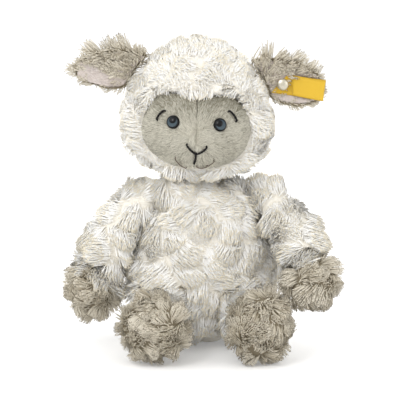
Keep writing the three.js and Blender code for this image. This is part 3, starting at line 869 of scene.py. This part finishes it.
def face_painted_light_and_mottle(places, normals):
    """Painted shade darkens the brow under the hood's rim and painted light makes the nose and the
    muzzle paler; the plush is also a little mottled.
    """
    across, up = on_face(places)
    # Painted shade at the brow, under the hood's rim; painted light on the nose and the muzzle. The
    # mottle is the plush's own.
    brow = np.clip((up - 5 * MM) / (14 * MM), 0, 1)
    nose = np.exp(-((across / (11 * MM)) ** 2) - ((up + 5 * MM) / (11 * MM)) ** 2)
    mottle = np.sin(across / (2.1 * MM) + 2 * np.sin(up / (3 * MM))) * np.sin(up / (2.7 * MM))
    return 0.26 * nose - 0.42 * brow + 0.04 * mottle - 0.03


def off_the_eyes(places, normals):
    """The front of a panel, apart from what its eye covers."""
    across, up = on_face(places)
    free = normals[:, 1] < 0.1
    for eye_across, eye_up in EYES.values():
        free &= np.hypot(across - eye_across, up - eye_up) > EYE_RADIUS
    return free


def sewn_up(places, normals):
    """The two panels meet in the seam down the nose."""
    across, _ = on_face(places)
    near = np.clip((1.6 * MM - np.abs(across)) / (1.1 * MM), 0, 1)
    return places - (across * near)[:, None] * HEAD_AXES[:, 0]


for side in ("left", "right"):
    panel = cover(side + "_face_panel", side + "_face", 1.1 * MM, 0.1 * MM, smooth=3)
    moved(panel.data, sewn_up)
    face_locks = heaped(panel, fanned, 30, apart=5 * MM, height=0, sway=0.15)
    joined(panel, "head", face_back)
    nap = grown(
        side + "_face_nap",
        panel,
        NAP,
        face_locks,
        seed=31,
        spacing=0.38 * MM,
        length=2.4 * MM,
        radius=0.14 * MM,
        taper=(1, 0.8, 0),
        lift=(34, 10),
        sink=0.1 * MM,
        fluff=0.1,
        rounding=0.25,
        ribbing=1.2,
        pinch=0,
        shades=0.06,
        grain=0.22,
        grows=off_the_eyes,
        tone=face_painted_light_and_mottle,
    )
    joined(nap, "head", face_nap)

# The eyes. Stock 8 mm safety eyes: a clear dome over a blue-grey iris, black round the rim and behind,
# on a shank that goes through the cloth and is held by a plastic washer inside.
EYE_DOME = 2.8 * MM
SHANK_RADIUS = 1.5 * MM
TURN_STEPS = 48
BLACK_RIM = (0.64, 0.82)
PUPIL_EDGE = (0.58, 0.44)
PUPILS = {"left": (-0.3, 0.2), "right": (0.1, 0.26)}


def axis_of(node):
    """The middle of a turned solid, the way its front looks, and its two ends along that way."""
    places = np.unique(np.round(points_of(frame["nodes"][node].data)[0], 6), axis=0)
    middle = places.mean(0)
    spread, ways = np.linalg.eigh(np.cov((places - middle).T))
    odd = 0 if abs(spread[1] - spread[0]) > abs(spread[2] - spread[1]) else 2
    way = ways[:, odd] * -np.sign(ways[1, odd])
    reach = (places - middle) @ way
    return Vector(middle), Vector(way), reach.min(), reach.max()


def turned(name, outline, place, way):
    """A form turned about its own axis from an outline of radius and height, then set on a place."""
    form = bmesh.new()
    corners = [form.verts.new((radius, 0, height)) for radius, height in outline]
    edges = [form.edges.new(pair) for pair in zip(corners, corners[1:])]
    whole = {"cent": (0, 0, 0), "axis": (0, 0, 1), "angle": 2 * math.pi, "use_merge": True}
    bmesh.ops.spin(form, geom=corners + edges, steps=TURN_STEPS, **whole)
    bmesh.ops.remove_doubles(form, verts=form.verts, dist=0.002 * MM)
    bmesh.ops.recalc_face_normals(form, faces=form.faces)
    turn = way.to_track_quat("Z", "Y").to_matrix().to_4x4()
    bmesh.ops.transform(form, matrix=Matrix.Translation(place) @ turn, verts=form.verts)
    piece = made(name, form)
    piece.data.shade_smooth()
    return piece


def painted(node, material):
    """Gives a part that stays as the solids have it its own finish."""
    mesh = frame["nodes"][node].data
    mesh.materials.clear()
    mesh.materials.append(material)


def shank(outline, radius, end):
    """Goes on from a head's outline to the end of its shank or stem."""
    return outline + [(radius, outline[-1][1]), (radius, end), (0, end)]


def eye_plastic(name, place, way, pupil):
    """The eye's paint, by the distance from its own middle: pupil, streaked iris and black rim, with the
    iris painted paler towards the bottom as light falling through the dome.
    """
    dome = {"Roughness": 0.3, "Specular_IOR_Level": 0.0, "Coat_Weight": 0.55, "Coat_Roughness": 0.03}
    finish = Finish(name, **dome)
    from_middle = finish.add("VectorMath", {"operation": "SUBTRACT"}, {0: finish.place(), 1: place})
    right = Vector((1, 0, 0)).cross(way).cross(way).normalized() * -1
    across, rise = (
        finish.add("VectorMath", {"operation": "DOT_PRODUCT"}, {0: from_middle, 1: axis / EYE_RADIUS}, 1)
        for axis in (right, way.cross(right))
    )
    out = (across * across + rise * rise) ** 0.5
    aside = ((across - pupil[0]) ** 2 + (rise - pupil[1]) ** 2) ** 0.5
    streaks = finish.noise(2600.0, 3.0)
    iris = finish.mix(streaks, ink(38, 50, 58), ink(62, 76, 84))
    # Painted light: the lower iris is paler, where light through the clear dome would fall.
    iris_painted_light = finish.add("MapRange", None, {0: rise, 1: 0.6, 2: -0.7})
    iris = finish.mix(iris_painted_light * 0.5, iris, ink(88, 103, 110))
    soft = {"interpolation_type": "SMOOTHSTEP"}
    ring = finish.add("MapRange", soft, {0: out, 1: BLACK_RIM[0], 2: BLACK_RIM[1]})
    hole = finish.add("MapRange", soft, {0: aside, 1: PUPIL_EDGE[0], 2: PUPIL_EDGE[1]})
    black = ink(3, 4, 5)
    finish.paint(Base_Color=finish.mix(hole, finish.mix(ring, iris, black), black))
    return finish.material


for side in ("left", "right"):
    middle, way, low, high = axis_of(side + "_eye")
    seat = middle + way * (high - EYE_DOME)
    arc = [(math.pi / 2) * step / 12 for step in range(13)]
    outline = [(EYE_RADIUS * math.sin(a), EYE_DOME * math.cos(a)) for a in arc]
    outline = shank(outline + [(0.97 * EYE_RADIUS, -0.25 * MM)], SHANK_RADIUS, low - high + EYE_DOME)
    eye = turned(side + "_safety_eye", outline, seat, way)
    joined(eye, "head", eye_plastic(side + "_eye_paint", seat, way, PUPILS[side]))
    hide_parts(side + "_eye")

nylon = Finish("washer_plastic", Roughness=0.45)
nylon.paint(Base_Color=nylon.mix(nylon.noise(900.0), ink(232, 232, 228), ink(222, 222, 216)))
for side in ("left", "right"):
    painted(side + "_eye_washer", nylon.material)

# The embroidery. The nose, its stem and the two brows are black floss in long stitches, two strands
# twisted, and the mouth is one strand of grey-brown. They are worked through the face plush and lie
# on its nap.
STITCHES = {
    "nose_left": ((6.8, -8.0), (3.9, -11.1), (0.7, -12.5)),
    "nose_right": ((-5.0, -7.3), (-2.5, -10.2), (0.7, -12.5)),
    "nose_stem": ((0.7, -12.5), (0.6, -15.7), (-0.1, -19.0)),
    "left_brow": ((17.9, 12.5), (20.8, 10.2), (23.0, 6.7)),
    "right_brow": ((-18.5, 10.8), (-21.4, 8.1), (-22.8, 4.9)),
    "mouth_right": ((-11.2, -16.1), (-7.9, -20.2), (-3.9, -22.3)),
    "mouth_middle": ((1.5, -20.8), (4.6, -21.5), (7.6, -20.2)),
    "mouth_left": ((7.6, -20.2), (9.8, -18.5), (11.4, -16.7)),
}
FLOSS_RADIUS = 0.48 * MM
MOUTH_RADIUS = 0.3 * MM
FLOSS_RISE = 1.35 * MM
FLOSS_DIP = 0.4 * MM
FLOSS_TWIST = 14
STITCH_COUNT = 9


def floss(name, colour, shade):
    """Shiny cotton floss, ribbed by its own twist."""
    finish = Finish(name, Roughness=0.7, Specular_IOR_Level=0.15)
    inputs = {"Vector": finish.place(), "Scale": 500.0}
    twist = finish.add("TexWave", {"bands_direction": "DIAGONAL"}, inputs)
    finish.paint(Base_Color=finish.mix(twist, colour, shade))
    finish.bump(twist, 0.5, 0.1 * MM)
    return finish.material


def through(start, middle, end, share):
    """A place on the curve from start to end that runs through middle."""
    rest = 1 - share
    return [
        rest**2 * a + 2 * share * rest * (2 * b - (a + c) / 2) + share * share * c
        for a, b, c in zip(start, middle, end)
    ]


def on_muzzle(across, up):
    """A place on the muzzle's cloth and the way it looks, from millimetres across and up the face."""
    wide = FACE_HALF_WIDTH + FACE_CLOTH
    tall = FACE_HALF_HEIGHT + FACE_CLOTH
    x = across * MM
    z = up * MM
    depth = math.sqrt(max(0, 1 - (x / wide) ** 2 - (z / tall) ** 2))
    place = Vector((x, MUZZLE_BULGE - MUZZLE_FRONT - MUZZLE_BULGE * depth, FACE_RISE + z))
    way = Vector((x / wide**2, -depth / MUZZLE_BULGE, z / tall**2)).normalized()
    return HEAD_TURN @ place, HEAD_TURN.to_3x3() @ way


black_floss = floss("black_floss", ink(16, 15, 16), ink(38, 36, 36))
brown_floss = floss("brown_floss", ink(96, 86, 76), ink(128, 116, 104))
for name, (start, middle, end) in STITCHES.items():
    thin = name.startswith("mouth")
    thread = bpy.data.curves.new(name, "CURVE")
    thread.dimensions = "3D"
    thread.resolution_u = 4
    thread.bevel_depth = MOUTH_RADIUS if thin else FLOSS_RADIUS
    thread.bevel_resolution = 3
    thread.use_fill_caps = True
    for strand in (0,) if thin else (0, math.pi):
        line = thread.splines.new("POLY")
        line.points.add(STITCH_COUNT * 4 - 1)
        for number, point in enumerate(line.points):
            t = number / (STITCH_COUNT * 4 - 1)
            place, way = on_muzzle(*through(start, middle, end, t))
            out = min(1, min(t, 1 - t) * STITCH_COUNT * 2)
            rise = FLOSS_RISE * out - FLOSS_DIP * (1 - out)
            aside = way.cross(Vector((end[0] - start[0], 0, end[1] - start[1])).normalized())
            turn = strand + t * FLOSS_TWIST
            apart = 0 if thin else 0.45 * FLOSS_RADIUS
            place = place + way * (rise + apart * math.sin(turn)) + aside * apart * math.cos(turn)
            point.co = place.to_4d()
    rod = bpy.data.objects.new(name, thread)
    scene.collection.objects.link(rod)
    stitch = bpy.data.objects.new(name + "_stitches", bpy.data.meshes.new_from_object(rod))
    bpy.data.objects.remove(rod)
    stitch.data.shade_smooth()
    joined(stitch, "head", brown_floss if thin else black_floss)

# The ears. Each is a taupe long-pile back sewn to a lining of short pinkish plush, cupped towards the
# front. The back's pile stands over the edge all round and falls over the front at the root.
taupe_back = knitted("taupe_backing", ink(138, 128, 107), ink(122, 113, 94))
taupe_pile = brushed(
    "taupe_pile",
    ink(142, 131, 108),
    ink(218, 210, 192),
    ink(234, 227, 212),
    ink(196, 188, 172),
)
lining_back = knitted("lining_backing", ink(226, 216, 210), ink(214, 203, 196))
lining_nap = brushed(
    "lining_nap",
    ink(222, 209, 201),
    ink(240, 230, 224),
    ink(250, 243, 238),
    ink(224, 214, 208),
)
BRUSH = Strand(0, 0.45, 0.92, 1)
EAR_LENGTH = 36 * MM
EAR_HALF_WIDTH = 14 * MM
FAN_EDGE = 8 * MM
EAR_SLANT = {"left": 0.0, "right": 0.5}
RIBBON_CORNERS = points_of(frame["nodes"]["ribbon_tag"].data)[0]
RIBBON_MIDDLE = (RIBBON_CORNERS.min(0) + RIBBON_CORNERS.max(0)) / 2
RIBBON_WAYS = np.linalg.eigh(np.cov((RIBBON_CORNERS - RIBBON_CORNERS.mean(0)).T))[1]
RIBBON_HALF = np.abs((RIBBON_CORNERS - RIBBON_MIDDLE) @ RIBBON_WAYS).max(0) + 0.4 * MM


def off_the_ribbon(places):
    """Nothing grows where the ribbon lies."""
    away = np.abs((places - RIBBON_MIDDLE) @ RIBBON_WAYS)
    return (away[:, 1] > RIBBON_HALF[1]) | (away[:, 2] > RIBBON_HALF[2])


for side, sign in (("left", 1), ("right", -1)):
    hinge = JOINT[side + "_ear_flap"]

    def ear_brushing(places, normals):
        """To the tip, and away from the ear's middle line, but up and over the head at the root."""
        away = places - hinge
        spread = (away[:, 2] + 2 * MM) / EAR_HALF_WIDTH
        root = np.clip(1 - np.abs(away[:, 0]) / (0.3 * EAR_LENGTH), 0, 1)
        rise = 0.9 * spread + 0.15 + 0.5 * root
        return np.stack([sign * (1 - 1.2 * root), np.zeros(len(places)), rise], 1)

    def ear_reach(places, normals):
        """Longest along the top edge and at the tip, short on the lower edge."""
        spread = (places[:, 2] - hinge[2]) / EAR_HALF_WIDTH
        return np.clip(0.9 + 0.45 * spread, 0.5, 1.35)

    def slanted(places, normals):
        """The lower edge of an ear runs up to its tip, the toy's right one the more so."""
        along = np.clip(np.abs(places[:, 0] - hinge[0]) / EAR_LENGTH, 0, 1)
        below = np.minimum(0, places[:, 2] - hinge[2] - 2 * MM)
        lifted = places.copy()
        lifted[:, 2] -= below * along * EAR_SLANT[side]
        return lifted

    def in_fan(places, normals):
        """The front of the ear, at its root and along its top edge, where long pile falls over it."""
        along = np.abs(places[:, 0] - hinge[0])
        fan = (normals[:, 1] < 0) & (places[:, 2] - hinge[2] > 0.5 * along - FAN_EDGE)
        return fan & off_the_ribbon(places)

    ear = cover(side + "_ear_back", side + "_ear", 0.8 * MM, 0.2 * MM, smooth=2)
    moved(ear.data, slanted)
    ear_locks = heaped(ear, ear_brushing, 40, apart=6 * MM, height=0.8 * MM, sway=0.35)
    joined(ear, side + "_ear", taupe_back)
    pile = grown(
        side + "_ear_pile",
        ear,
        BRUSH,
        ear_locks,
        seed=41,
        spacing=0.85 * MM,
        length=9 * MM,
        radius=0.28 * MM,
        taper=(1, 1.05, 1, 0),
        lift=(50, 30),
        tumble=14,
        ribbing=2,
        clear_of={side + "_ear_lining": 0.35 * MM, "head": -1.5 * MM},
        overhang=0.6,
        pinch=0.1,
        fluff=0.1,
        reach=ear_reach,
    )
    joined(pile, side + "_ear", taupe_pile)
    lining = cover(side + "_ear_front", side + "_ear_lining", 0.6 * MM, 0.05 * MM, smooth=1)
    moved(lining.data, slanted)
    lining_locks = heaped(lining, ear_brushing, 42, apart=2 * MM, height=0.1 * MM, sway=0.3)
    joined(lining, side + "_ear", lining_back)
    down = grown(
        side + "_ear_nap",
        lining,
        NAP,
        lining_locks,
        seed=43,
        spacing=0.42 * MM,
        length=2.2 * MM,
        radius=0.13 * MM,
        taper=(1, 0.8, 0),
        lift=(45, 15),
        sink=0.1 * MM,
        grows=lambda places, normals: (normals[:, 1] < 0.2) & off_the_ribbon(places),
    )
    joined(down, side + "_ear", lining_nap)
    fan = grown(
        side + "_ear_fan",
        lining,
        BRUSH,
        heaped(lining, ear_brushing, 44, apart=4.5 * MM, height=0, sway=0.2),
        seed=45,
        spacing=0.85 * MM,
        length=9.5 * MM,
        radius=0.27 * MM,
        taper=(1, 1, 0.9, 0),
        lift=(44, 14),
        tumble=12,
        ribbing=2,
        sink=0.1 * MM,
        clear_of={"head": 0.4 * MM},
        grows=in_fan,
    )
    joined(fan, side + "_ear", taupe_pile)

# The ribbon and its button. A plain woven ribbon, folded once over itself, is held to the toy's left
# ear by a domed metal button whose stem goes through the ear and is closed on a washer behind.
BUTTON_RADIUS = 3.5 * MM
BUTTON_HEIGHT = 2.1 * MM
BUTTON_EDGE = 0.6 * MM
STEM_RADIUS = 1 * MM
RIBBON_LENGTH = 31 * MM
RIBBON_WIDTH = 12 * MM
RIBBON_THICK = 0.45 * MM
RIBBON_FOLD = 0.62 * MM
FRONT_SHARE = 0.62
RIBBON_WAVE = 1.1 * MM
RIBBON_SKEW = 0.06
RIBBON_STEPS = 14
CUT_SLANT = 0.75

along = Vector(RIBBON_WAYS[:, 2] * np.sign(RIBBON_WAYS[0, 2]))
out = Vector(RIBBON_WAYS[:, 0] * -np.sign(RIBBON_WAYS[1, 0]))
across = out.cross(along)
form = bmesh.new()
half = RIBBON_LENGTH / 2
fold = RIBBON_FOLD + RIBBON_THICK / 2
arc = [step * math.pi / 8 for step in range(9)]
trail = [(-half + 2 * half * i / RIBBON_STEPS, -fold, 0) for i in range(RIBBON_STEPS)]
trail += [(half - fold + fold * math.sin(a), -fold * math.cos(a), 0) for a in arc]
shares = [(i + 1) / RIBBON_STEPS for i in range(RIBBON_STEPS)]
trail += [(half - 2 * half * FRONT_SHARE * share, fold, share) for share in shares]
rows = []
for x, z, loose in trail:
    lift = z + RIBBON_WAVE * math.sin(x / half * 2.2) * (0.4 + loose)
    row = []
    for step in range(9):
        y = (step / 8 - 0.5) * RIBBON_WIDTH
        near_end = max(0, (half - fold - x) / (2 * half))
        slant = CUT_SLANT * (y + RIBBON_WIDTH / 2) if z < 0 else -CUT_SLANT * y
        skew = RIBBON_SKEW * x * (1 if z > 0 else 0.2)
        row.append(form.verts.new((x + slant * near_end**3, y - skew, lift)))
    rows.append([form.edges.new(pair) for pair in zip(row, row[1:])])
for one, two in zip(rows, rows[1:]):
    bmesh.ops.bridge_loops(form, edges=one + two)
bmesh.ops.recalc_face_normals(form, faces=form.faces)
on_ear = Matrix.Translation(RIBBON_MIDDLE) @ Matrix((along, across, out)).transposed().to_4x4()
bmesh.ops.transform(form, matrix=on_ear, verts=form.verts)
weave = form.loops.layers.uv.new("OFBake")
off_ear = on_ear.inverted()
for face in form.faces:
    for loop in face.loops:
        flat = off_ear @ loop.vert.co
        layer = 0.53 if flat.z > 0 else 0.03
        run = (flat.x / RIBBON_LENGTH + 0.5) * 0.98 + 0.01
        loop[weave].uv = (run, layer + (flat.y / RIBBON_WIDTH + 0.5) * 0.44)
ribbon = made("folded_ribbon", form)
ribbon.data.shade_smooth()
thick = ribbon.modifiers.new("cloth", "SOLIDIFY")
thick.thickness = RIBBON_THICK
thick.offset = 0
woven = Finish("yellow_ribbon", Roughness=0.55, Sheen_Weight=0.3)
warp = woven.add("TexWave", {"bands_direction": "X"}, {"Vector": woven.place(), "Scale": 520.0})
weft = woven.add("TexWave", {"bands_direction": "Z"}, {"Vector": woven.place(), "Scale": 520.0})
woven.paint(Base_Color=woven.mix(warp * weft, ink(214, 172, 24), ink(226, 186, 44)))
woven.bump(warp + weft, 0.35, 0.12 * MM)
joined(ribbon, "left_ear", woven.material)
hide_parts("ribbon_tag")

metal = Finish("button_metal", Metallic=1.0)
metal.paint(Base_Color=metal.mix(metal.noise(700.0), ink(214, 208, 190), ink(196, 190, 172)))
metal.paint(Roughness=0.22 + 0.12 * metal.noise(2400.0))
middle, way, low, high = axis_of("ear_button")
seat = middle + way * (high - BUTTON_HEIGHT)
arc = [(math.pi / 2) * step / 10 for step in range(11)]
dome = BUTTON_HEIGHT - BUTTON_EDGE
outline = [(BUTTON_RADIUS * math.sin(a), BUTTON_EDGE + dome * math.cos(a)) for a in arc]
outline += [(BUTTON_RADIUS, 0.2 * MM), (0.93 * BUTTON_RADIUS, 0)]
outline = shank(outline, STEM_RADIUS, low - high + BUTTON_HEIGHT)
button = turned("domed_button", outline, seat, way)
joined(button, "left_ear", metal.material)
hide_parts("ear_button")
painted("ear_button_washer", metal.material)

# The arms and the paws. A white sleeve of long pile is stuffed and sewn on at the shoulder, with a
# round taupe paw at its end. The sleeve's pile lies in waves and goes on over the paw's inner side; the
# rest of the paw's stands in thick blunt tufts.
RUFF_LENGTH = 13 * MM
RUFF_TURN = 3.4
LIMB_SWELL = 1 * MM
ARM_DRAWN_IN = 1.2 * MM
END_EVEN = 2.2 * MM
END_DRAWN_IN = 2.8 * MM
SLEEVE_LENGTH = 12 * MM
TUFT_SPREAD = 25
TUFT_APART = 6 * MM
TUFT_HEIGHT = 2.2 * MM
CUFFS = {"left": ((-0.51, 0, 0.86), 18), "right": ((0.58, 0, 0.81), -3.1)}
TUFTS = {
    "spacing": 0.78 * MM,
    "length": 8.5 * MM,
    "radius": 0.27 * MM,
    "taper": (1, 1.05, 1, 0),
    "lift": (36, 12),
    "tumble": 20,
    "stray": 0.015,
    "pinch": 0.12,
    "fluff": 0.16,
    "rounding": 0.6,
    "ribbing": 1.6,
    "shades": 0.2,
    "grain": 0.14,
}


def sleeve_brushing(start, end):
    """Along the limb, each row to the other side, and turned round to point back over the seam."""
    way = unit(end - start)

    def comb(places, normals):
        run = ((places - start) @ way)[:, None]
        swing = 0.8 * np.sin(run / (4.5 * MM))
        turned_back = RUFF_TURN * np.clip(1 - run / RUFF_LENGTH, 0, 1)
        aside = np.cross(normals, way)
        lean = np.sin(turned_back) + swing * np.cos(turned_back)
        return np.cos(turned_back) * way + lean * aside

    return comb


def ruffled(start, end):
    """Shorter pile towards the seam, where it is gathered."""
    way = unit(end - start) / RUFF_LENGTH
    return lambda places, normals: np.clip(0.8 + 0.2 * ((places - start) @ way), 0.8, 1)


def cuffed(side):
    """Where the sleeve's white pile goes on over the inner side of the paw, above a slanted line."""
    way, limit = CUFFS[side]
    return lambda places, normals: places @ np.array(way) > limit * MM


def tufted(start, end):
    """Out from the seam, over the end of the limb."""
    way = unit(end - start)
    return lambda places, normals: way + TUFT_SPREAD * (places - end)


for side in ("left", "right"):
    shoulder = JOINT[side + "_shoulder_swing"]
    paw_middle = middle_of(side + "_paw")
    sleeve = cover(side + "_sleeve", side + "_arm", CLOTH_EVEN, ARM_DRAWN_IN, swell=LIMB_SWELL)
    upper = (0.72 * shoulder + 0.28 * paw_middle) / MM
    moved(sleeve.data, fuller((upper, 26, 3)))
    sleeve_locks = heaped(sleeve, sleeve_brushing(shoulder, paw_middle), 50, height=2 * MM, sway=0.5)
    joined(sleeve, side + "_arm", white_back)
    pile = grown(
        side + "_sleeve_pile",
        sleeve,
        LONG,
        sleeve_locks,
        seed=51,
        spacing=0.85 * MM,
        length=SLEEVE_LENGTH,
        lift=(36, 8),
        clear_of={"torso": -1.5 * MM, side + "_paw": -0.5 * MM, "head": -1.5 * MM},
        reach=ruffled(shoulder, paw_middle),
        wave=0.3,
    )
    joined(pile, side + "_arm", white_pile)
    paw = cover(side + "_paw_cover", side + "_paw", END_EVEN, END_DRAWN_IN, swell=LIMB_SWELL)
    paw_locks = heaped(paw, tufted(shoulder, paw_middle), 52, TUFT_APART, TUFT_HEIGHT, sway=1.1)
    joined(paw, side + "_arm", taupe_back)
    cuff = cuffed(side)
    pile = grown(
        side + "_paw_pile",
        paw,
        BRUSH,
        paw_locks,
        seed=53,
        clear_of={side + "_arm": 0},
        grows=lambda places, normals: ~cuff(places, normals),
        **TUFTS,
    )
    joined(pile, side + "_arm", taupe_pile)
    pile = grown(
        side + "_cuff_pile",
        paw,
        LONG,
        heaped(paw, sleeve_brushing(shoulder, paw_middle), 54, height=0, sway=0.4),
        seed=55,
        spacing=0.8 * MM,
        length=SLEEVE_LENGTH,
        lift=(34, 10),
        clear_of={side + "_arm": 0},
        grows=cuff,
        wave=0.3,
    )
    joined(pile, side + "_arm", white_pile)

# The legs and the feet. Short white legs sewn on at the hip, with round taupe feet whose soles look
# forward. The pile is pressed flat where the feet stand on the table.
LEG_DRAWN_IN = 1.4 * MM
THIGHS = {
    "left": (((9, -48, 22), 16, 4.5), ((22, -34, 44), 15, 5), ((36, -26, 36), 12, 4)),
    "right": (((-12, -36, 26), 16, 5), ((-30, -30, 44), 16, 4)),
}
FEET = {"left": (((44, -52, 40), 11, 3),), "right": ()}

for side in ("left", "right"):
    hip = JOINT[side + "_hip_swing"]
    foot_middle = middle_of(side + "_foot")
    leg = cover(side + "_leg_cover", side + "_leg", CLOTH_EVEN, LEG_DRAWN_IN, swell=LIMB_SWELL)
    moved(leg.data, fuller(*THIGHS[side]))
    leg_locks = heaped(leg, sleeve_brushing(hip, foot_middle), 60, height=2 * MM, sway=0.5)
    joined(leg, side + "_leg", white_back)
    pile = grown(
        side + "_leg_pile",
        leg,
        LONG,
        leg_locks,
        seed=61,
        lift=(36, 8),
        clear_of={"torso": -3 * MM, side + "_foot": -0.5 * MM},
        wave=0.3,
        floor=TABLE_CLEAR,
    )
    joined(pile, side + "_leg", white_pile)
    foot = cover(side + "_foot_cover", side + "_foot", END_EVEN, END_DRAWN_IN, swell=LIMB_SWELL)
    moved(foot.data, fuller(*FEET[side]))
    foot_locks = heaped(foot, tufted(hip, foot_middle), 62, TUFT_APART, TUFT_HEIGHT, sway=1.2)
    joined(foot, side + "_leg", taupe_back)
    pile = grown(
        side + "_foot_pile",
        foot,
        BRUSH,
        foot_locks,
        seed=63,
        clear_of={side + "_leg": 0},
        floor=TABLE_CLEAR,
        **TUFTS,
    )
    joined(pile, side + "_leg", taupe_pile)
